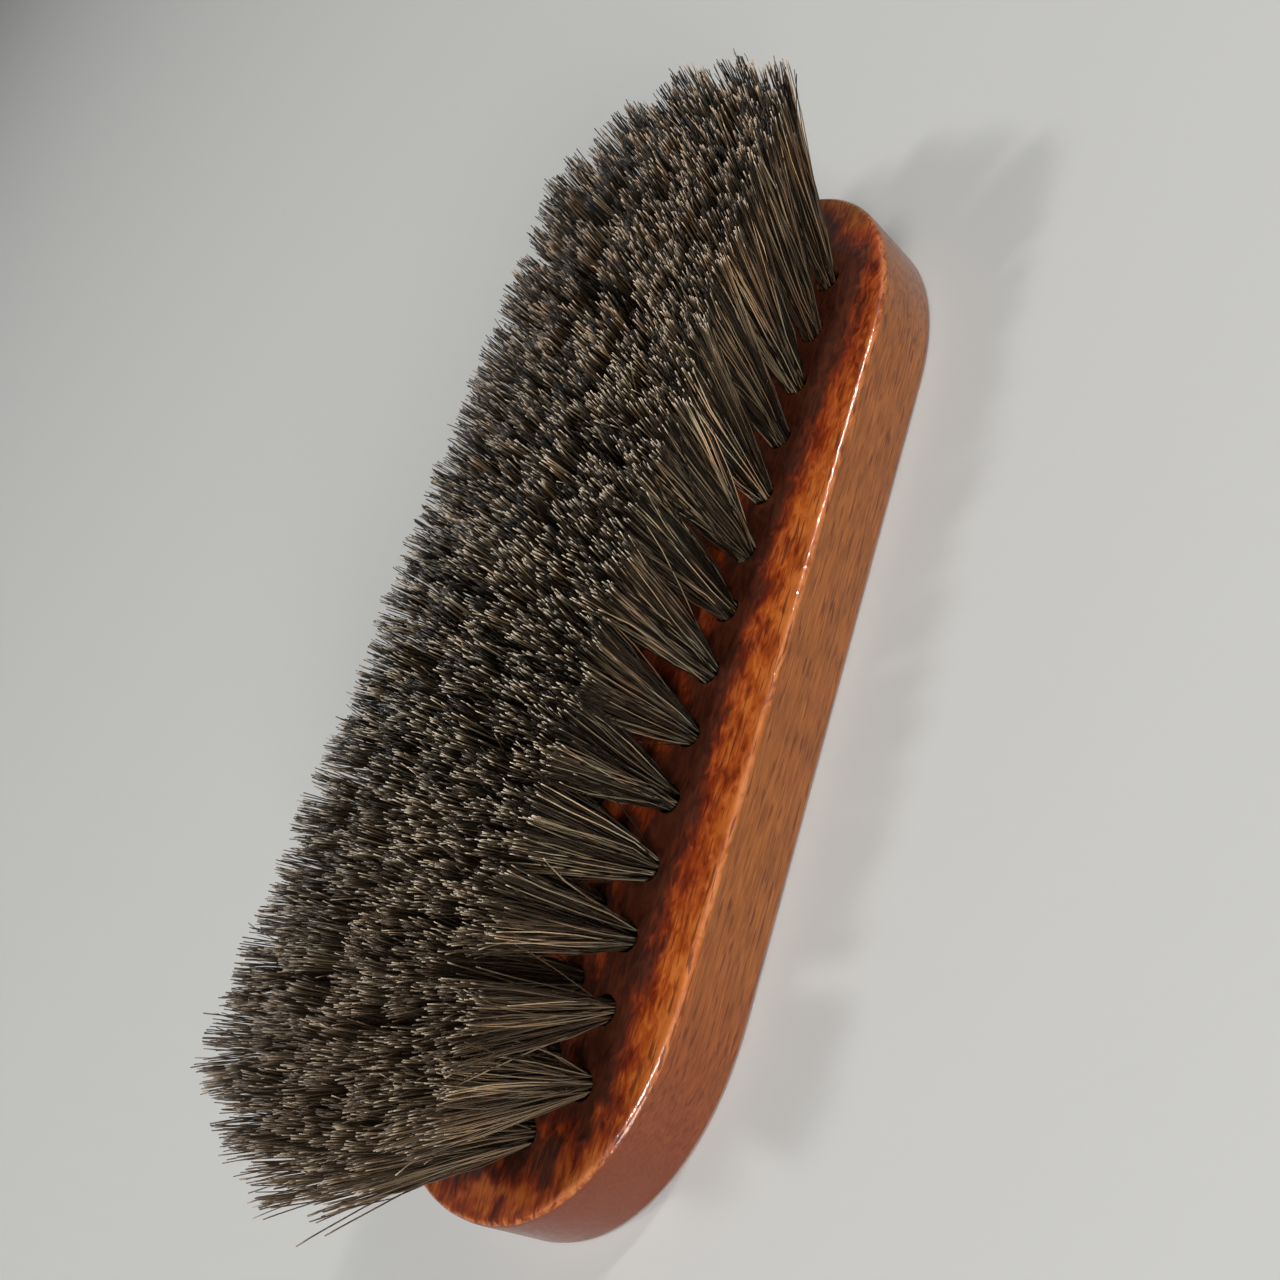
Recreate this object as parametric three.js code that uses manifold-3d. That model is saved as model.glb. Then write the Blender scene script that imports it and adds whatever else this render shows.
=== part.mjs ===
// An oblong horsehair palm brush: a stained beech block with blind, outward-leaning tuft
// holes, and a trimmed tuft of horsehair standing in each hole.
//
// Millimetres. The origin is the centre of the block's flat back, +X runs along the block,
// +Y across it, and +Z points the way that the bristles point.

import * as THREE from "three";
import { mergeVertices } from "three/addons/utils/BufferGeometryUtils.js";
import Module from "manifold-3d";

const wasm = await Module();
wasm.setup();

// Block
const BLOCK_LENGTH = 170;
const BLOCK_WIDTH = 57;
const BLOCK_THICKNESS = 13.2;
const END_LENGTH = 35; // the curved stretch at each end, beyond the straight sides
const END_EXPONENT = 2.15; // 2 would be an ellipse, more is squarer
const END_SEGMENTS = 28;
const FACE_EDGE_RADIUS = 1.1; // round the bristle face
const BACK_EDGE_RADIUS = 0.8; // round the back, which the palm holds
const EDGE_SEGMENTS = 4;

// Tufts
const ROOT_RADIUS = 1.65; // where a tuft leaves the block
const TIP_RADIUS = 4.8; // where it is trimmed
const JOINED_TIP_RADIUS = 5.9; // wide enough to meet the next tuft in the joined row
const HAIR_LENGTH = 30; // from the block's face to the flat trim
const ROUND_SIDES = 12;

// Tuft holes
const HOLE_RADIUS = 2.05;
const HOLE_DEPTH = 9; // along the leaning hole
const SEAT_GAP = 0.3; // between the tuft and the hole's end

// The tufts stand in five staggered rows, and fan out in x and y from their roots to their
// tips. Row c is the middle one.
const ROWS = [
  { letter: "a", count: 14, rootPitch: 9.9, tipPitch: 11.3, rootY: -15.2, tipY: -21.8 },
  { letter: "b", count: 15, rootPitch: 10.3, tipPitch: 11.5, rootY: -7.6, tipY: -11.6 },
  { letter: "c", count: 16, rootPitch: 10.1, tipPitch: 11.1, rootY: 0, tipY: 0 },
  { letter: "d", count: 15, rootPitch: 10.3, tipPitch: 11.5, rootY: 7.6, tipY: 11.6 },
  { letter: "e", count: 14, rootPitch: 9.9, tipPitch: 11.3, rootY: 15.2, tipY: 21.8 },
];
const JOINED_ROW = "c";

const WOOD = new THREE.MeshStandardMaterial({ color: 0xa8552b, roughness: 0.35, metalness: 0 });
const HORSEHAIR = new THREE.MeshStandardMaterial({ color: 0x62564a, roughness: 0.75, metalness: 0 });

// Solids for joining and cutting

function toSolid(geometry) {
  geometry.deleteAttribute("normal");
  geometry.deleteAttribute("uv");
  const merged = mergeVertices(geometry);
  return new wasm.Manifold(
    new wasm.Mesh({
      numProp: 3,
      vertProperties: merged.attributes.position.array,
      triVerts: Uint32Array.from(merged.index.array),
    }),
  );
}

function toGeometry(solid) {
  const { vertProperties, triVerts } = solid.getMesh();
  const geometry = new THREE.BufferGeometry();
  geometry.setAttribute("position", new THREE.BufferAttribute(vertProperties, 3));
  geometry.setIndex(new THREE.BufferAttribute(triVerts, 1));
  geometry.computeVertexNormals();
  return geometry;
}

function namedMesh(name, solid, material) {
  const mesh = new THREE.Mesh(toGeometry(solid), material);
  mesh.name = name;
  return mesh;
}

// A round rod that starts behind a point, runs through it and ends in front of it.
function rodThrough(point, direction, behind, ahead, behindRadius, aheadRadius) {
  const rod = new THREE.CylinderGeometry(aheadRadius, behindRadius, behind + ahead, ROUND_SIDES);
  rod.translate(0, (ahead - behind) / 2, 0);
  const turn = new THREE.Quaternion().setFromUnitVectors(new THREE.Vector3(0, 1, 0), direction);
  rod.applyQuaternion(turn);
  rod.translate(point.x, point.y, point.z);
  return toSolid(rod);
}

// Layout of the tufts

// Each tuft's root lies on the bristle face, and its lean runs from there to the trimmed tip.
function tuftsOf(row) {
  const tufts = [];
  for (let i = 0; i < row.count; i += 1) {
    const step = i - (row.count - 1) / 2;
    const root = new THREE.Vector3(step * row.rootPitch, row.rootY, BLOCK_THICKNESS);
    const tip = new THREE.Vector3(step * row.tipPitch, row.tipY, BLOCK_THICKNESS + HAIR_LENGTH);
    const reach = root.distanceTo(tip);
    tufts.push({ root, reach, lean: tip.sub(root).divideScalar(reach) });
  }
  return tufts;
}

// Block

function blockOutline(grow) {
  const halfWidth = BLOCK_WIDTH / 2 + grow;
  const endLength = END_LENGTH + grow;
  const straight = BLOCK_LENGTH / 2 - END_LENGTH;
  const power = 2 / END_EXPONENT;
  const points = [];
  for (const side of [1, -1]) {
    for (let i = 0; i <= END_SEGMENTS; i += 1) {
      const angle = Math.PI * (i / END_SEGMENTS - 0.5);
      const along = Math.abs(Math.cos(angle)) ** power;
      const across = Math.sign(angle) * Math.abs(Math.sin(angle)) ** power;
      points.push(new THREE.Vector2(side * (straight + endLength * along), side * halfWidth * across));
    }
  }
  return new THREE.Shape(points);
}

function roundedSlab(bottom, top, edgeRadius, grow) {
  const slab = new THREE.ExtrudeGeometry(blockOutline(grow), {
    depth: top - bottom - 2 * edgeRadius,
    bevelThickness: edgeRadius,
    bevelSize: edgeRadius,
    bevelOffset: -edgeRadius,
    bevelSegments: EDGE_SEGMENTS,
  });
  slab.translate(0, 0, bottom + edgeRadius);
  return toSolid(slab);
}

// One slab rounds the back's edge and the other the face's, and the block is what they share.
// The second is a hair larger, so that their walls don't coincide.
function blockBody() {
  const overrun = 5;
  const clearOfWall = 0.05;
  const backSlab = roundedSlab(0, BLOCK_THICKNESS + overrun, BACK_EDGE_RADIUS, 0);
  const faceSlab = roundedSlab(-overrun, BLOCK_THICKNESS, FACE_EDGE_RADIUS, clearOfWall);
  return backSlab.intersect(faceSlab);
}

function tuftHole({ root, lean }) {
  const mouthOverrun = 3;
  return rodThrough(root, lean, HOLE_DEPTH, mouthOverrun, HOLE_RADIUS, HOLE_RADIUS);
}

function drilledBlock() {
  let block = blockBody();
  for (const row of ROWS) {
    for (const tuft of tuftsOf(row)) {
      block = block.subtract(tuftHole(tuft));
    }
  }
  return namedMesh("block", block, WOOD);
}

// Tufts

// Everything from well below the tuft up to the trim, which the tufts are cut to.
function belowTrim() {
  const size = 2 * BLOCK_LENGTH;
  const slab = new THREE.BoxGeometry(size, size, size);
  slab.translate(0, 0, BLOCK_THICKNESS + HAIR_LENGTH - size / 2);
  return toSolid(slab);
}

function tuftSolid({ root, lean, reach }, tipRadius) {
  const tipOverrun = 4;
  const seatDepth = HOLE_DEPTH - SEAT_GAP;
  const taper = (tipRadius - ROOT_RADIUS) / reach;
  const seatRadius = ROOT_RADIUS - taper * seatDepth;
  const overrunRadius = tipRadius + taper * tipOverrun;
  const cone = rodThrough(root, lean, seatDepth, reach + tipOverrun, seatRadius, overrunRadius);
  return cone.intersect(belowTrim());
}

function separateTufts(row) {
  return tuftsOf(row).map((tuft, i) => {
    const name = `tuft_${row.letter}_${String(i + 1).padStart(2, "0")}`;
    return namedMesh(name, tuftSolid(tuft, TIP_RADIUS), HORSEHAIR);
  });
}

// The middle row's tufts widen until they meet, so the row is one solid.
function joinedTufts(row) {
  const solids = tuftsOf(row).map((tuft) => tuftSolid(tuft, JOINED_TIP_RADIUS));
  const joined = solids.reduce((sum, solid) => sum.add(solid));
  return namedMesh(`tuft_row_${row.letter}`, joined, HORSEHAIR);
}

const brush = new THREE.Group();
brush.add(drilledBlock());
for (const row of ROWS) {
  const tufts = row.letter === JOINED_ROW ? [joinedTufts(row)] : separateTufts(row);
  brush.add(...tufts);
}

export default brush;
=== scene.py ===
"""An oblong horsehair palm brush, lying on its back with its bristles up.

Metres, in the CAD frame: the origin is the centre of the block's flat back, +X runs along the
block, +Y across it and +Z towards the bristle tips.
"""

import math

import bmesh
import bpy
import numpy as np
from mathutils import Matrix, Vector


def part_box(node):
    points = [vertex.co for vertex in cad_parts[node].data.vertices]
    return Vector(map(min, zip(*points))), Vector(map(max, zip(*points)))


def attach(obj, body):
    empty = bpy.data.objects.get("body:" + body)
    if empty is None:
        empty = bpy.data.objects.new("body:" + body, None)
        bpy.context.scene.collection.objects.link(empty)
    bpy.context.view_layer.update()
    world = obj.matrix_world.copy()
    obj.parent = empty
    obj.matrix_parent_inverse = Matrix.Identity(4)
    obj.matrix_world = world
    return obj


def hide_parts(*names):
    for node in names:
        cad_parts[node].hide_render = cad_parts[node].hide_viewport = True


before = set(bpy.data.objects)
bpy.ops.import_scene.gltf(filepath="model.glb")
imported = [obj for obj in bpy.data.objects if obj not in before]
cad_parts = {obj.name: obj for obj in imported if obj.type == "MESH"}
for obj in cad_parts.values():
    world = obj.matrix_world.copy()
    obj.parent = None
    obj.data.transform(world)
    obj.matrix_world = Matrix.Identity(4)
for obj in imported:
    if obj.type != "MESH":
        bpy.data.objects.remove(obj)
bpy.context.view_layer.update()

MM = 0.001
UP = Vector((0, 0, 1))

# Camera, which looks at the bristle face, close to its middle
CAMERA_PLACE = Vector((-67.4, -150.3, 140.0)) * MM
CAMERA_AIM = Vector((0.7, 1.5, 13.2)) * MM
CAMERA_ROLL = math.radians(-56.7)
CAMERA_LENS = 38.1
CAMERA_SENSOR = 36

# Block. The CAD block's highest corner says how long, wide and thick it is.
HALF_LENGTH, HALF_WIDTH, FACE_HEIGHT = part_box("block")[1]
END_LENGTH = 35 * MM
END_EXPONENT = 2.15
QUARTER_POINTS = 37
FACE_EDGE_RADIUS = 1.1 * MM
FACE_EDGE_RINGS = 7
BACK_EDGE_RADIUS = 0.8 * MM
BACK_EDGE_RINGS = 9
SMOOTH_ANGLE = math.radians(35)

# Tuft holes
HOLE_RADIUS = 2.05 * MM
HOLE_DEPTH = 9 * MM
HOLE_OVERRUN = 2 * MM
HOLE_SIDES = 28

# Tufts, in five staggered rows: letter, number, spacing of the roots and of the tips in x, and
# y of the roots and of the tips. The rows are the same on either side of the middle one.
TRIM_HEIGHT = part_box("tuft_row_c")[1].z
ROWS = (
    ("a", 14, 9.9 * MM, 11.3 * MM, -15.2 * MM, -21.8 * MM),
    ("b", 15, 10.3 * MM, 11.5 * MM, -7.6 * MM, -11.6 * MM),
    ("c", 16, 10.1 * MM, 11.1 * MM, 0, 0),
    ("d", 15, 10.3 * MM, 11.5 * MM, 7.6 * MM, 11.6 * MM),
    ("e", 14, 9.9 * MM, 11.3 * MM, 15.2 * MM, 21.8 * MM),
)
JOINED_ROW = "c"
JOINED_NODE = "tuft_row_c"

# Hair
SEED = 7
HAIRS_PER_TUFT = 310
BUNCHES_PER_TUFT = 16
BUNCH_PULL = 0.32
LOCKS_PER_TUFT = 110
LOCK_PULL = 0.6
HAIR_SIDES = 3
HAIR_RADIUS = 0.1 * MM
HAIR_SIZES = (0.8, 1.25)
HAIR_TAPER = (1.05, 0.85)
HAIR_STOPS = np.array([0, 0.25, 0.5, 0.75, 0.94, 1])  # from the hole's mouth to the cut tip
HAIR_START = 0.6 * MM  # from the hole's end
BURIED_SHARE = 0.1  # of a hair's length, for the colours along it
SHARED_TONES = 0.6  # share of the hairs that have their lock's tone

# How far a tuft's hairs spread from its middle at the root, and in x and y at the tip, and how
# many times as far they spread in the tufts at the rows' ends and at the brush's corners
ROOT_SPREAD = 1.95 * MM
TIP_SPREAD = (6.5 * MM, 5.3 * MM)
END_TUFT_SPREAD = (1.06, 1.45)
CORNER_TUFT_SPREAD = (1.12, 1.12)

# How the tufts differ from each other: how many times as wide, and how far off at the tip
TUFT_SIZES = (0.88, 1.06)
TUFT_SHIFT = 0.45 * MM  # in the outer rows and at the rows' ends
INNER_TUFT_SHIFT = 0.95 * MM

# How the hairs of a tuft differ, each by itself and with its lock: sideways at the tip, in
# height at the tip, and in how they bend once and twice on the way up
TIP_SCATTER = (0.35 * MM, 0.3 * MM)
TRIM_SCATTER = (0.4 * MM, 0.6 * MM)
BOW = (0.3 * MM, 0.3 * MM)
SWAY = (0.16 * MM, 0.16 * MM)

# Hairs that cross to the next tuft, were cut short, or stray
CROSSING_SHARE = 0.05
CROSSING_REACH = 4 * MM
SHORT_SHARE = 0.12
SHORTEST = 0.78
STRAY_SHARE = 0.1
STRAY_DRIFT = 1.3 * MM
HIGHEST = 0.9 * MM  # above the trim

# Anchors: flat wire across the fold of each tuft
ANCHOR_LENGTH = 4.2 * MM
ANCHOR_WIDTH = 0.5 * MM
ANCHOR_HEIGHT = 1.3 * MM
ANCHOR_DEPTH = 7.8 * MM
ANCHOR_BEVEL = 0.12 * MM

# Stage
FLOOR_SIZE = 4
FLOOR_GAP = 0.02 * MM
LIGHT_DISTANCE = 2.2
# Lights: direction, size in x and y, power and colour. The glints only show as reflections.
LIGHTS = {
    "key": ((-0.147, -0.22, 0.957), (0.25, 0.25), 12, (1, 0.98, 0.96)),
    "back": ((-0.3, 0.35, 0.88), (0.22, 0.22), 11, (1, 0.98, 0.95)),
    "side": ((0.52, -0.22, 0.825), (0.12, 0.12), 8, (1, 0.98, 0.95)),
    "front": ((-0.6, -0.72, 0.36), (0.9, 0.9), 38, (1, 0.98, 0.96)),
    "side_glint": ((0.51, -0.22, 0.83), (0.2, 0.28), 40, (1, 0.99, 0.97)),
    "end_glint": ((-0.26, -0.22, 0.94), (0.5, 0.5), 60, (1, 0.99, 0.97)),
}


# Node helpers


def new_material(name):
    material = bpy.data.materials.new(name)
    material.use_nodes = True
    nodes = material.node_tree.nodes
    return material, material.node_tree, nodes["Principled BSDF"]


def put(tree, value, socket):
    """Sets a socket to a plain value, or links another socket to it."""
    if isinstance(value, bpy.types.NodeSocket):
        tree.links.new(value, socket)
    else:
        socket.default_value = value


def math_node(tree, operation, a, b=0.0):
    node = tree.nodes.new("ShaderNodeMath")
    node.operation = operation
    put(tree, a, node.inputs[0])
    put(tree, b, node.inputs[1])
    return node.outputs[0]


def add(tree, a, b):
    return math_node(tree, "ADD", a, b)


def subtract(tree, a, b):
    return math_node(tree, "SUBTRACT", a, b)


def multiply(tree, a, b):
    return math_node(tree, "MULTIPLY", a, b)


def size_of(tree, value):
    return math_node(tree, "ABSOLUTE", value)


def remap(tree, value, low, high, out_low=0.0, out_high=1.0):
    """Moves smoothly from one plain number to another as a value goes from low to high."""
    node = tree.nodes.new("ShaderNodeMapRange")
    node.interpolation_type = "SMOOTHSTEP"
    put(tree, value, node.inputs["Value"])
    node.inputs["From Min"].default_value = low
    node.inputs["From Max"].default_value = high
    node.inputs["To Min"].default_value = out_low
    node.inputs["To Max"].default_value = out_high
    return node.outputs["Result"]


def mix_colour(tree, factor, a, b, blend="MIX"):
    node = tree.nodes.new("ShaderNodeMix")
    node.data_type = "RGBA"
    node.blend_type = blend
    put(tree, factor, node.inputs["Factor"])
    put(tree, a, node.inputs["A"])
    put(tree, b, node.inputs["B"])
    return node.outputs["Result"]


def tinted(tree, colour, tint):
    return mix_colour(tree, 1.0, colour, tint, "MULTIPLY")


def ramp(tree, factor, stops):
    node = tree.nodes.new("ShaderNodeValToRGB")
    elements = node.color_ramp.elements
    while len(elements) < len(stops):
        elements.new(0.5)
    for element, (place, colour) in zip(elements, stops):
        element.position = place
        element.color = (*colour, 1)
    put(tree, factor, node.inputs["Fac"])
    return node.outputs["Color"]


def hypotenuse(tree, a, b):
    squares = [multiply(tree, side, side) for side in (a, b)]
    return math_node(tree, "SQRT", add(tree, *squares))


def split_xyz(tree, coordinate):
    """The parts of a texture coordinate, such as the place on the object or its normal."""
    node = tree.nodes.new("ShaderNodeSeparateXYZ")
    put(tree, tree.nodes.new("ShaderNodeTexCoord").outputs[coordinate], node.inputs["Vector"])
    return node.outputs


def grain_space(tree, stretch, size):
    """Object coordinates in grains of this size, drawn out along the block by stretch."""
    place = tree.nodes.new("ShaderNodeTexCoord").outputs["Object"]
    node = tree.nodes.new("ShaderNodeMapping")
    node.inputs["Scale"].default_value = (1 / (size * stretch), 1 / size, 1 / size)
    put(tree, place, node.inputs["Vector"])
    return node.outputs["Vector"]


def noise(tree, vector, detail, distortion=0.0):
    node = tree.nodes.new("ShaderNodeTexNoise")
    node.inputs["Scale"].default_value = 1
    node.inputs["Detail"].default_value = detail
    node.inputs["Distortion"].default_value = distortion
    put(tree, vector, node.inputs["Vector"])
    return node.outputs["Fac"]


def attribute(tree, name):
    node = tree.nodes.new("ShaderNodeAttribute")
    node.attribute_name = name
    return node.outputs["Fac"]


def bump(tree, height, distance, strength):
    node = tree.nodes.new("ShaderNodeBump")
    node.inputs["Distance"].default_value = distance
    node.inputs["Strength"].default_value = strength
    put(tree, height, node.inputs["Height"])
    return node.outputs["Normal"]


# Materials


def wood_material():
    """Beech under a red-orange stain and a glossy lacquer, with its grain along the block."""
    material, tree, shader = new_material("stained_beech")
    cloud = noise(tree, grain_space(tree, 1.6, 4 * MM), detail=2, distortion=0.6)
    flame = noise(tree, grain_space(tree, 2.2, 1.5 * MM), detail=4, distortion=1.4)
    streak = noise(tree, grain_space(tree, 14, 0.38 * MM), detail=3, distortion=0.3)
    facing = split_xyz(tree, "Normal")
    level = size_of(tree, facing["Z"])

    face = face_colour(tree, cloud, flame, streak)
    wall = wall_colour(tree, cloud, streak)
    colour = mix_colour(tree, remap(tree, level, 0.3, 0.9), wall, face)
    # Painted shade: face and side darker towards the -X end, where the bristle tips overhang
    near_end_shade = remap(tree, split_xyz(tree, "Object")["X"], -80 * MM, -46 * MM, 0.63, 1)
    colour = tinted(tree, colour, near_end_shade)
    # Painted sheen on the rounded edges
    colour = edge_sheen(tree, colour, level, flame)
    colour = with_pores(tree, colour, size_of(tree, facing["X"]))
    put(tree, colour, shader.inputs["Base Color"])

    put(tree, remap(tree, flame, 0.3, 0.7, 0.38, 0.5), shader.inputs["Roughness"])
    put(tree, bump(tree, streak, 0.04 * MM, 0.5), shader.inputs["Normal"])
    ripple = noise(tree, grain_space(tree, 2, 0.6 * MM), detail=2)
    ripple = multiply(tree, ripple, remap(tree, level, 0.96, 1, 1, 0.3))
    put(tree, bump(tree, ripple, 0.1 * MM, 0.9), shader.inputs["Coat Normal"])
    shader.inputs["Specular IOR Level"].default_value = 0.12
    shader.inputs["Coat Weight"].default_value = 0.5
    shader.inputs["Coat Roughness"].default_value = 0.08
    return material


def edge_sheen(tree, colour, level, flame):
    """Painted sheen: paler in broken patches on the block's rounded edges."""
    rounded = multiply(tree, remap(tree, level, 0.25, 0.6), remap(tree, level, 0.8, 0.98, 1, 0))
    sheen = multiply(tree, rounded, remap(tree, flame, 0.4, 0.6, 0.05, 0.6))
    return mix_colour(tree, sheen, colour, (0.6, 0.22, 0.08, 1))


def with_pores(tree, colour, end_facing):
    """Short dark pores along the grain, which fade on the block's ends."""
    pores = remap(tree, noise(tree, grain_space(tree, 11, 0.46 * MM), detail=1), 0.585, 0.66)
    pores = multiply(tree, pores, remap(tree, end_facing, 0.25, 0.7, 0.75, 0))
    return mix_colour(tree, pores, colour, (0.12, 0.025, 0.008, 1))


def face_colour(tree, cloud, flame, streak):
    """Flamed orange, redder towards the tufts and near black round them, on the back as well.

    The red and the near black are partly stain and partly painted shadow of the bristles; the
    lighter rim is painted light, and the darker +X end is painted shadow.
    """
    figure = add(tree, multiply(tree, cloud, 0.35), multiply(tree, flame, 0.45))
    figure = add(tree, figure, multiply(tree, streak, 0.2))
    orange = ramp(tree, figure, [
        (0.38, (0.2, 0.024, 0.003)),
        (0.48, (0.4, 0.07, 0.008)),
        (0.6, (0.6, 0.15, 0.021)),
    ])
    reach = stain_and_shade_reach(tree, cloud, flame)
    # Painted light: a lighter strip at the rim, beyond the bristles' shadow
    lit_rim = remap(tree, reach, 9 * MM, 12 * MM, 0, 0.5)
    orange = mix_colour(tree, lit_rim, orange, (0.66, 0.2, 0.04, 1))
    # Partly stain, partly painted shadow of the bristles: redder, and near black closest to the
    # tufts
    red = tinted(tree, orange, (0.6, 0.36, 0.4, 1))
    stained_and_shaded = mix_colour(tree, remap(tree, reach, 4.2 * MM, 9 * MM, 1, 0), orange, red)
    dark = ramp(tree, flame, [(0.35, (0.045, 0.012, 0.007)), (0.65, (0.1, 0.023, 0.009))])
    stained_and_shaded = mix_colour(tree, remap(tree, reach, 2.8 * MM, 6.3 * MM, 1, 0), stained_and_shaded, dark)
    # Painted shadow of the overhanging bristle tips over the +X end
    far_end = remap(tree, split_xyz(tree, "Object")["X"], 71 * MM, 79 * MM)
    return mix_colour(tree, far_end, stained_and_shaded, tinted(tree, stained_and_shaded, (0.6, 0.8, 1, 1)))


def stain_and_shade_reach(tree, cloud, flame):
    """The distance from the tufts that sets the stain and the painted bristle shadow, made
    uneven, and less towards the +X end and at the -X end.
    """
    along = split_xyz(tree, "Object")["X"]
    far = remap(tree, along, 25 * MM, 60 * MM, 0, 3 * MM)
    near = remap(tree, along, -78 * MM, -66 * MM, 1.5 * MM, 0)
    distance = subtract(tree, stain_and_shade_distance(tree), add(tree, far, near))
    # Most uneven at the -X end, where the painted shadow of the bristles is dappled
    unrest = remap(tree, along, -75 * MM, -58 * MM, 18 * MM, 7 * MM)
    wander = multiply(tree, subtract(tree, cloud, 0.5), unrest)
    fray = multiply(tree, subtract(tree, flame, 0.5), 3 * MM)
    return add(tree, distance, add(tree, wander, fray))


def stain_and_shade_distance(tree):
    """How far a point of the face is from the tuft holes, or from the line of an outer row."""
    far_off = 1
    beyond_row = 1 * MM
    place = split_xyz(tree, "Object")
    from_centre = size_of(tree, place["X"])
    from_middle = size_of(tree, place["Y"])
    nearest = far_off
    for _, count, spacing, _, row_y, _ in ROWS[2:]:
        steps = math_node(tree, "DIVIDE", place["X"], spacing)
        steps = add(tree, steps, (count - 1) / 2)
        hole = math_node(tree, "ROUND", steps)
        hole = math_node(tree, "MINIMUM", math_node(tree, "MAXIMUM", hole, 0), count - 1)
        along = multiply(tree, subtract(tree, steps, hole), spacing)
        across = subtract(tree, from_middle, row_y)
        nearest = math_node(tree, "MINIMUM", nearest, hypotenuse(tree, along, across))
    _, count, spacing, _, row_y, _ = ROWS[-1]
    along = subtract(tree, from_centre, (count - 1) / 2 * spacing)
    along = math_node(tree, "MAXIMUM", along, 0)
    across = subtract(tree, from_middle, row_y + beyond_row)
    return math_node(tree, "MINIMUM", nearest, hypotenuse(tree, along, across))


def wall_colour(tree, cloud, streak):
    """The block's side: thinner stain, pinkish tan that reddens towards the -X end."""
    tan = ramp(tree, streak, [(0.3, (0.19, 0.056, 0.0115)), (0.7, (0.35, 0.114, 0.0245))])
    tan = tinted(tree, tan, remap(tree, cloud, 0.35, 0.65, 0.9, 1.1))
    red = ramp(tree, streak, [(0.3, (0.2, 0.039, 0.0115)), (0.7, (0.262, 0.056, 0.017))])
    along = split_xyz(tree, "Object")["X"]
    return mix_colour(tree, remap(tree, along, -80 * MM, -35 * MM), red, tan)


def hair_material():
    """Horsehair: each hair or lock has a tone of its own, and many hairs have a pale cut end."""
    material, tree, shader = new_material("horsehair")
    tone = attribute(tree, "tone")
    along = attribute(tree, "along")
    place = split_xyz(tree, "Object")
    # Painted light and shade along the hairs
    colour = tinted(tree, hair_tones(tree, tone), painted_hair_light(tree, along, place))
    near_cut = remap(tree, along, 0.965, 1)
    pale = multiply(tree, near_cut, remap(tree, tone, 0.5, 0.88))
    colour = mix_colour(tree, pale, colour, (0.66, 0.57, 0.45, 1))
    colour = across_brush(tree, colour, along, place)
    put(tree, colour, shader.inputs["Base Color"])
    put(tree, remap(tree, tone, 0, 1, 0.3, 0.45), shader.inputs["Roughness"])
    shader.inputs["Specular IOR Level"].default_value = 0.16
    return material


def hair_tones(tree, tone):
    """Near black to pale tan, in warmer and cooler patches a tuft or so across."""
    own = ramp(tree, tone, [
        (0.0, (0.004, 0.003, 0.002)),
        (0.5, (0.02, 0.0155, 0.011)),
        (0.72, (0.085, 0.067, 0.045)),
        (0.9, (0.22, 0.178, 0.118)),
        (1.0, (0.42, 0.35, 0.24)),
    ])
    patch = remap(tree, noise(tree, grain_space(tree, 1, 7 * MM), detail=2), 0.35, 0.65)
    return tinted(tree, own, mix_colour(tree, patch, (0.97, 0.98, 0.87, 1), (1.2, 0.96, 0.75, 1)))


def painted_hair_light(tree, along, place):
    """Painted light and shade: lighter up to the middle, then darker, or lighter still outside
    the outer rows, which face the light.

    All the hairs are darker at the tip, as painted shade among the tips.
    """
    outside = remap(tree, size_of(tree, place["Y"]), 17 * MM, 22 * MM)
    upper = mix_colour(tree, outside, (0.95, 0.98, 1.06, 1), (1.85, 1.9, 2.05, 1))
    from_root = remap(tree, along, 0.2, 0.65)
    fade = mix_colour(tree, from_root, (1.02, 1.1, 1.25, 1), (1.32, 1.4, 1.56, 1))
    fade = mix_colour(tree, remap(tree, along, 0.58, 0.8), fade, upper)
    return mix_colour(tree, remap(tree, along, 0.87, 0.96), fade, (0.9, 0.9, 0.9, 1))


def across_brush(tree, colour, along, place):
    """More even towards the -X end, rustier and darker towards +X, and in painted shade towards
    +Y.
    """
    even = remap(tree, place["X"], -80 * MM, -20 * MM, 0.5, 0)
    colour = mix_colour(tree, even, colour, (0.17, 0.115, 0.073, 1))
    rusty = tinted(tree, colour, (1.02, 0.9, 0.83, 1))
    colour = mix_colour(tree, remap(tree, place["X"], -10 * MM, 70 * MM, 0.15, 1), colour, rusty)
    # Painted shade: darker towards +Y
    shade = remap(tree, place["Y"], 0, 15 * MM, 1, 0.74)
    far_end = remap(tree, place["X"], 5 * MM, 40 * MM)
    dimming = remap(tree, along, 0.5, 0.9, 0.26, 0.13)
    return tinted(tree, colour, subtract(tree, shade, multiply(tree, far_end, dimming)))


def wire_material():
    """Galvanised anchor wire, dull and lightly drawn."""
    material, tree, shader = new_material("anchor_wire")
    drawn = noise(tree, grain_space(tree, 12, 0.12 * MM), detail=2)
    colour = ramp(tree, drawn, [(0.3, (0.32, 0.32, 0.31)), (0.7, (0.55, 0.55, 0.53))])
    put(tree, colour, shader.inputs["Base Color"])
    put(tree, remap(tree, drawn, 0.3, 0.7, 0.3, 0.5), shader.inputs["Roughness"])
    shader.inputs["Metallic"].default_value = 1
    return material


# Pieces


def add_object(name, mesh, material):
    piece = bpy.data.objects.new(name, mesh)
    bpy.context.scene.collection.objects.link(piece)
    mesh.materials.append(material)
    return piece


def is_piece(piece, node=None):
    """Declares a piece: it rides on the one body, and may stand for a CAD node."""
    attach(piece, "root")
    if node:
        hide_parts(node)


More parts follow.
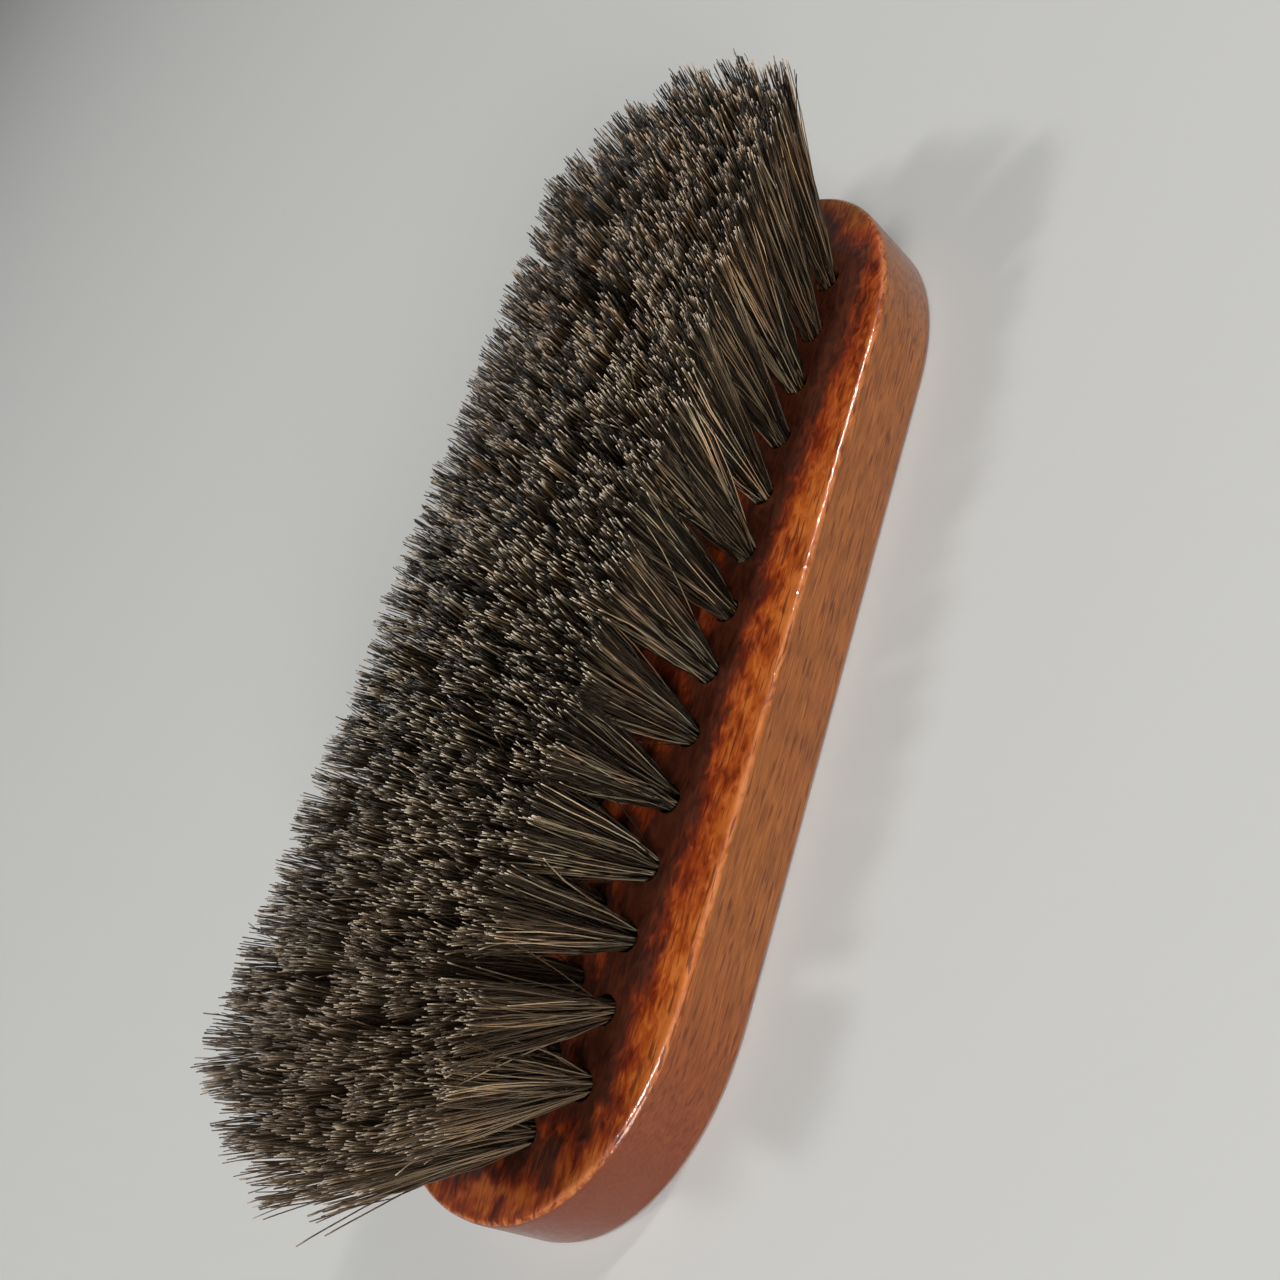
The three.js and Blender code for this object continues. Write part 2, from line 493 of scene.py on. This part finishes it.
def tufts():
    """Each tuft as (label, row, root, tip): its root on the bristle face and its trimmed tip."""
    for row, count, root_spacing, tip_spacing, root_y, tip_y in ROWS:
        for i in range(count):
            step = i - (count - 1) / 2
            root = Vector((step * root_spacing, root_y, FACE_HEIGHT))
            tip = Vector((step * tip_spacing, tip_y, TRIM_HEIGHT))
            yield f"{row}_{i + 1:02d}", row, root, tip


def leaning(place, lean):
    """A matrix that stands +Z along a tuft's lean, at a place."""
    return Matrix.Translation(place) @ UP.rotation_difference(lean).to_matrix().to_4x4()


# Block


def outline(inset):
    """The block's outline with superelliptic ends, moved in by inset along its normals."""
    quarter = np.linspace(0, math.pi / 2, QUARTER_POINTS)
    power = 2 / END_EXPONENT
    across = HALF_WIDTH * np.sin(quarter) ** power
    along = HALF_LENGTH - END_LENGTH + END_LENGTH * np.cos(quarter) ** power
    corner = np.stack([along, across], 1)
    steep = 2 - power
    normal_x = np.cos(quarter) ** steep / END_LENGTH
    normal_y = np.sin(quarter) ** steep / HALF_WIDTH
    normals = np.stack([normal_x, normal_y], 1)
    normals /= np.linalg.norm(normals, axis=1)[:, None]
    corner -= inset * normals
    half = np.concatenate([(corner * (1, -1))[::-1], corner[1:]])
    return np.concatenate([half, -half])


def block_profile():
    """(inset, height) of each ring, from the back's flat to the bristle face."""
    for angle in np.radians(np.linspace(0, 90, BACK_EDGE_RINGS)):
        inset = BACK_EDGE_RADIUS * (1 - math.sin(angle))
        yield inset, BACK_EDGE_RADIUS * (1 - math.cos(angle))
    for angle in np.radians(np.linspace(0, 90, FACE_EDGE_RINGS)):
        inset = FACE_EDGE_RADIUS * (1 - math.cos(angle))
        yield inset, FACE_HEIGHT - FACE_EDGE_RADIUS * (1 - math.sin(angle))


def solid_block():
    shape = bmesh.new()
    rings = []
    for inset, height in block_profile():
        rings.append([shape.verts.new((x, y, height)) for x, y in outline(inset)])
    for low, high in zip(rings, rings[1:]):
        for i in range(len(low)):
            j = (i + 1) % len(low)
            shape.faces.new((low[i], low[j], high[j], high[i]))
    shape.faces.new(rings[0][::-1])
    shape.faces.new(rings[-1])
    mesh = bpy.data.meshes.new("wood_block")
    shape.to_mesh(mesh)
    shape.free()
    return mesh


def hole_cutters():
    """One mesh with a leaning cylinder for every tuft hole."""
    shape = bmesh.new()
    for _, _, root, tip in tufts():
        lean = (tip - root).normalized()
        middle = root + lean * (HOLE_OVERRUN - HOLE_DEPTH) / 2
        bmesh.ops.create_cone(
            shape,
            cap_ends=True,
            segments=HOLE_SIDES,
            radius1=HOLE_RADIUS,
            radius2=HOLE_RADIUS,
            depth=HOLE_DEPTH + HOLE_OVERRUN,
            matrix=leaning(middle, lean),
        )
    mesh = bpy.data.meshes.new("hole_cutters")
    shape.to_mesh(mesh)
    shape.free()
    return mesh


def add_block(material):
    piece = add_object("wood_block", solid_block(), material)
    cutters = bpy.data.objects.new("hole_cutters", hole_cutters())
    bpy.context.scene.collection.objects.link(cutters)
    drill = piece.modifiers.new("drill", "BOOLEAN")
    drill.operation = "DIFFERENCE"
    drill.solver = "EXACT"
    drill.object = cutters
    drilled = piece.evaluated_get(bpy.context.evaluated_depsgraph_get())
    mesh = bpy.data.meshes.new_from_object(drilled)
    piece.modifiers.clear()
    piece.data = mesh
    bpy.data.objects.remove(cutters)
    mesh.shade_smooth()
    mesh.set_sharp_from_angle(angle=SMOOTH_ANGLE)
    sharpen_flats(mesh)
    is_piece(piece, "block")


def sharpen_flats(mesh):
    """Keeps the flat back and bristle face from shading into the rounded edges."""
    upright = 0.9999
    shape = bmesh.new()
    shape.from_mesh(mesh)
    for face in shape.faces:
        if abs(face.normal.z) > upright:
            for edge in face.edges:
                edge.smooth = False
    shape.to_mesh(mesh)
    shape.free()


# Hair


def tuft_disc(rng):
    """A unit disc with a point for each hair, and the same points after they clump.

    They are drawn together in bunches, and then, more closely, in the locks that the cut tips
    stick to. Also says which lock each hair is in.
    """
    angle = rng.uniform(0, 2 * math.pi, HAIRS_PER_TUFT)
    reach = np.sqrt(rng.uniform(0, 1, HAIRS_PER_TUFT))
    disc = np.stack([reach * np.cos(angle), reach * np.sin(angle)], 1)
    bunched, _ = clumped(rng, disc, BUNCHES_PER_TUFT, BUNCH_PULL)
    locked, lock = clumped(rng, bunched, LOCKS_PER_TUFT, LOCK_PULL)
    return disc, bunched, locked, lock


def clumped(rng, disc, clumps, pull):
    """Draws each point of a disc towards the nearest of a few centres, and says which it is."""
    centres = disc[rng.choice(len(disc), clumps, replace=False)]
    nearest = np.linalg.norm(disc[:, None] - centres[None], axis=2).argmin(1)
    return disc + pull * (centres[nearest] - disc), nearest


def fanned(bunched, locked, facing_out, outwards):
    """The tips' places on the disc.

    On the side that faces out of the brush the locks come loose, and the round tuft widens
    towards a square, so that it meets the next one in a straight line.
    """
    loosening = 0.7
    squareness = 0.85
    fullness = 0.8
    widening = 0.3
    loose = locked + loosening * facing_out[:, None] * (bunched - locked)
    squared = np.abs(loose[:, 1]) / np.sqrt(1 - squareness * np.minimum(loose[:, 0] ** 2, 1))
    loose[:, 1] = np.where(facing_out > 0, outwards * squared ** fullness, loose[:, 1])
    loose[:, 0] *= 1 + widening * facing_out ** 2
    return loose


def scatter(rng, lock, per_hair, per_lock, axes=2):
    """How far each hair is off along one or more axes, partly together with its lock."""
    shared = rng.normal(0, per_lock, (LOCKS_PER_TUFT, axes))[lock]
    return rng.normal(0, per_hair, (HAIRS_PER_TUFT, axes)) + shared


def flat(offsets):
    """Sideways offsets as points at height 0."""
    return np.concatenate([offsets, np.zeros((len(offsets), 1))], 1)


def hair_paths(rng, root, tip, spread, outwards, row_end):
    """Centre points of a tuft's hairs, from the hole's end to the cut tip: hairs x stops x 3.

    Also says which lock each hair sticks to. In an outer row, outwards is the side in y that
    the row faces, and it is 0 in the others. A tuft at the end of its row, in the direction
    row_end in x, stays round on that side.
    """
    disc, bunched, locked, lock = tuft_disc(rng)
    facing_out = np.clip(outwards * locked[:, 1], 0, 1) * (row_end * locked[:, 0] <= 0)
    start = np.array(root) + flat(locked * ROOT_SPREAD)

    tips = fanned(bunched, locked, facing_out, outwards) * spread * rng.uniform(*TUFT_SIZES)
    tips += scatter(rng, lock, *TIP_SCATTER)
    at_edge = outwards or row_end
    tips += rng.normal(0, TUFT_SHIFT if at_edge else INNER_TUFT_SHIFT, 2)
    crossing = rng.uniform(0, 1, HAIRS_PER_TUFT) < CROSSING_SHARE
    inwards = -1 if tip.x > 0 else 1
    tips[crossing, 0] += inwards * np.abs(rng.normal(0, CROSSING_REACH, crossing.sum()))
    height = np.minimum(scatter(rng, lock, *TRIM_SCATTER, axes=1), HIGHEST)
    height *= 1 - 0.5 * facing_out[:, None]
    end = np.array(tip) + np.concatenate([tips, height], 1)

    short = rng.uniform(0, 1, HAIRS_PER_TUFT) < SHORT_SHARE
    cut = np.where(short, rng.uniform(SHORTEST, 1, HAIRS_PER_TUFT), 1)
    bow = scatter(rng, lock, *BOW)
    sway = scatter(rng, lock, *SWAY)
    stray = rng.uniform(0, 1, HAIRS_PER_TUFT) < STRAY_SHARE
    bow[stray] *= 2
    drift = stray[:, None] * rng.normal(0, STRAY_DRIFT, (HAIRS_PER_TUFT, 2))

    stops = (cut[:, None] * HAIR_STOPS)[:, :, None]
    shown = start[:, None] + (end - start)[:, None] * stops
    shown += flat(bow)[:, None] * 4 * stops * (1 - stops)
    shown += flat(sway)[:, None] * np.sin(2 * math.pi * stops)
    shown += flat(drift)[:, None] * stops ** 3
    buried = buried_ends(root, tip, disc)
    return np.concatenate([buried[:, None], shown], 1), lock


def buried_ends(root, tip, disc):
    """Where the hairs start, either side of the anchor at the bottom of the hole."""
    beside_anchor = 0.9 * ANCHOR_WIDTH
    narrowing = 0.8
    lean = np.array((tip - root).normalized())
    seat = disc * narrowing * ROOT_SPREAD
    seat[:, 1] += np.where(disc[:, 1] < 0, -1, 1) * beside_anchor
    return np.array(root) - lean * (HOLE_DEPTH - HAIR_START) + flat(seat)


def ring_frames(paths):
    """Two unit vectors across each hair."""
    direction = paths[:, -1] - paths[:, 1]
    direction /= np.linalg.norm(direction, axis=1)[:, None]
    first = np.cross(direction, (1.0, 0.0, 0.0))
    first /= np.linalg.norm(first, axis=1)[:, None]
    return first, np.cross(direction, first)


def hair_mesh(name, rng, paths, lock):
    """Closed three-sided hairs along the paths, with the attributes tone and along."""
    count, rings = paths.shape[:2]
    radius = HAIR_RADIUS * rng.uniform(*HAIR_SIZES, count)
    taper = np.linspace(*HAIR_TAPER, rings)
    side = np.arange(HAIR_SIDES)
    turn = rng.uniform(0, 2 * math.pi, count)[:, None] + side * 2 * math.pi / HAIR_SIDES
    first, second = ring_frames(paths)
    spoke = np.cos(turn)[..., None] * first[:, None] + np.sin(turn)[..., None] * second[:, None]
    reach = (radius[:, None] * taper)[:, :, None, None]
    verts = paths[:, :, None] + reach * spoke[:, None]
    mesh = bpy.data.meshes.new(name)
    mesh.from_pydata(verts.reshape(-1, 3).tolist(), [], hair_faces(count, rings))
    mesh.shade_smooth()

    own = rng.uniform(0, 1, count)
    shared = rng.uniform(0, 1, LOCKS_PER_TUFT)[lock]
    tone = np.where(rng.uniform(0, 1, count) < SHARED_TONES, shared, own)
    along = np.concatenate([[0], HAIR_STOPS * (1 - BURIED_SHARE) + BURIED_SHARE])
    every_point = (count, rings, HAIR_SIDES)
    for label, values in (("tone", tone[:, None, None]), ("along", along[None, :, None])):
        layer = mesh.attributes.new(label, "FLOAT", "POINT")
        values = np.broadcast_to(values, every_point)
        layer.data.foreach_set("value", values.ravel().astype(np.float32))
    lay_out_hairs(mesh, count, rings)
    return mesh


def hair_faces(count, rings):
    """Quads between the rings of every hair, and a triangle at each of its ends."""
    start = np.arange(count)[:, None, None] * rings * HAIR_SIDES
    ring = np.arange(rings - 1)[None, :, None] * HAIR_SIDES
    here = np.arange(HAIR_SIDES)[None, None, :]
    there = (here + 1) % HAIR_SIDES
    low = start + ring
    high = low + HAIR_SIDES
    quads = np.stack([low + here, low + there, high + there, high + here], -1).reshape(-1, 4)
    first_ring = start[:, 0, 0]
    last_ring = first_ring + (rings - 1) * HAIR_SIDES
    caps = np.concatenate([
        np.stack([first_ring + 2, first_ring + 1, first_ring], 1),
        np.stack([last_ring, last_ring + 1, last_ring + 2], 1),
    ])
    return quads.tolist() + caps.tolist()


def lay_out_hairs(mesh, count, rings):
    """Gives every hair a cell of its own in a UV map."""
    margin = 0.12
    inner = 1 - 2 * margin
    cap_height = 0.08
    grid = math.ceil(math.sqrt(count))
    cell = np.stack([np.arange(count) % grid, np.arange(count) // grid], 1)[:, None, None, None]
    side = np.arange(HAIR_SIDES) / HAIR_SIDES
    step = np.arange(rings - 1) / (rings - 1)
    left = np.broadcast_to(side[None, :], (rings - 1, HAIR_SIDES))
    low = np.broadcast_to(step[:, None], (rings - 1, HAIR_SIDES))
    right = left + 1 / HAIR_SIDES
    high = low + 1 / (rings - 1)
    corners = np.stack([
        np.stack([left, low], -1),
        np.stack([right, low], -1),
        np.stack([right, high], -1),
        np.stack([left, high], -1),
    ], 2)
    quads = (cell + margin + inner * corners[None]) / grid
    places = [quads.reshape(-1, 2)]
    for base, height in ((0, cap_height), (1, -cap_height)):
        cap = np.array([(0, base), (1, base), (0.5, base + height)])
        caps = (cell[:, 0, 0] + margin + inner * cap[None]) / grid
        places.append(caps.reshape(-1, 2))
    layer = mesh.uv_layers.new(name="OFBake")
    layer.data.foreach_set("uv", np.concatenate(places).ravel().astype(np.float32))


def add_hair(material):
    last = {row: count for row, count, *_ in ROWS}
    outer = {ROWS[0][0]: -1, ROWS[-1][0]: 1}
    for i, (label, row, root, tip) in enumerate(tufts()):
        at_end = int(label[-2:]) in (1, last[row])
        widened = CORNER_TUFT_SPREAD if row in outer else END_TUFT_SPREAD
        spread = np.array(TIP_SPREAD) * (widened if at_end else (1, 1))
        row_end = math.copysign(1, tip.x) if at_end else 0
        rng = np.random.default_rng([SEED, i])
        paths, lock = hair_paths(rng, root, tip, spread, outer.get(row, 0), row_end)
        mesh = hair_mesh(f"hair_{label}", rng, paths, lock)
        piece = add_object(f"hair_{label}", mesh, material)
        is_piece(piece, JOINED_NODE if row == JOINED_ROW else f"tuft_{label}")


# Anchors


def add_anchors(material):
    for label, _, root, tip in tufts():
        lean = (tip - root).normalized()
        shape = bmesh.new()
        bmesh.ops.create_cube(shape, size=1)
        size = Matrix.Diagonal((ANCHOR_LENGTH, ANCHOR_WIDTH, ANCHOR_HEIGHT, 1))
        bmesh.ops.transform(shape, matrix=size, verts=shape.verts)
        bmesh.ops.bevel(
            shape,
            geom=shape.edges[:],
            offset=ANCHOR_BEVEL,
            segments=2,
            affect="EDGES",
            profile=0.5,
        )
        place = leaning(root - lean * ANCHOR_DEPTH, lean)
        bmesh.ops.transform(shape, matrix=place, verts=shape.verts)
        mesh = bpy.data.meshes.new(f"anchor_{label}")
        shape.to_mesh(mesh)
        shape.free()
        is_piece(add_object(f"anchor_{label}", mesh, material))


# Stage


def add_camera():
    data = bpy.data.cameras.new("camera")
    data.lens = CAMERA_LENS
    data.sensor_width = CAMERA_SENSOR
    data.clip_start = 1 * MM
    camera = bpy.data.objects.new("camera", data)
    bpy.context.scene.collection.objects.link(camera)
    forward = (CAMERA_AIM - CAMERA_PLACE).normalized()
    level = forward.cross(UP).normalized()
    upright = level.cross(forward)
    right = level * math.cos(CAMERA_ROLL) + upright * math.sin(CAMERA_ROLL)
    up = right.cross(forward)
    turn = Matrix((right, up, -forward)).transposed().to_4x4()
    camera.matrix_world = Matrix.Translation(CAMERA_PLACE) @ turn
    bpy.context.scene.camera = camera


def add_floor():
    shape = bmesh.new()
    bmesh.ops.create_grid(shape, x_segments=1, y_segments=1, size=FLOOR_SIZE / 2)
    mesh = bpy.data.meshes.new("floor")
    shape.to_mesh(mesh)
    shape.free()
    material, _, shader = new_material("pale_floor")
    shader.inputs["Base Color"].default_value = (0.54, 0.545, 0.535, 1)
    shader.inputs["Roughness"].default_value = 0.7
    floor = add_object("floor", mesh, material)
    floor.location.z = -FLOOR_GAP


def add_light(name, direction, size, power, colour):
    data = bpy.data.lights.new(name, "AREA")
    data.shape = "ELLIPSE"
    data.size, data.size_y = size
    data.energy = power
    data.color = colour
    light = bpy.data.objects.new(name, data)
    bpy.context.scene.collection.objects.link(light)
    towards = Vector(direction).normalized()
    turn = towards.to_track_quat("Z", "Y").to_matrix().to_4x4()
    light.matrix_world = Matrix.Translation(towards * LIGHT_DISTANCE) @ turn
    light.visible_diffuse = not name.endswith("glint")


def add_lights():
    for name, light in LIGHTS.items():
        add_light(name, *light)
    world = bpy.data.worlds.new("world")
    world.use_nodes = True
    background = world.node_tree.nodes["Background"]
    background.inputs["Color"].default_value = (0.92, 0.96, 1, 1)
    background.inputs["Strength"].default_value = 0.13
    bpy.context.scene.world = world
    bpy.context.scene.view_settings.view_transform = "Standard"


add_camera()
add_block(wood_material())
add_hair(hair_material())
add_anchors(wire_material())
add_floor()
add_lights()
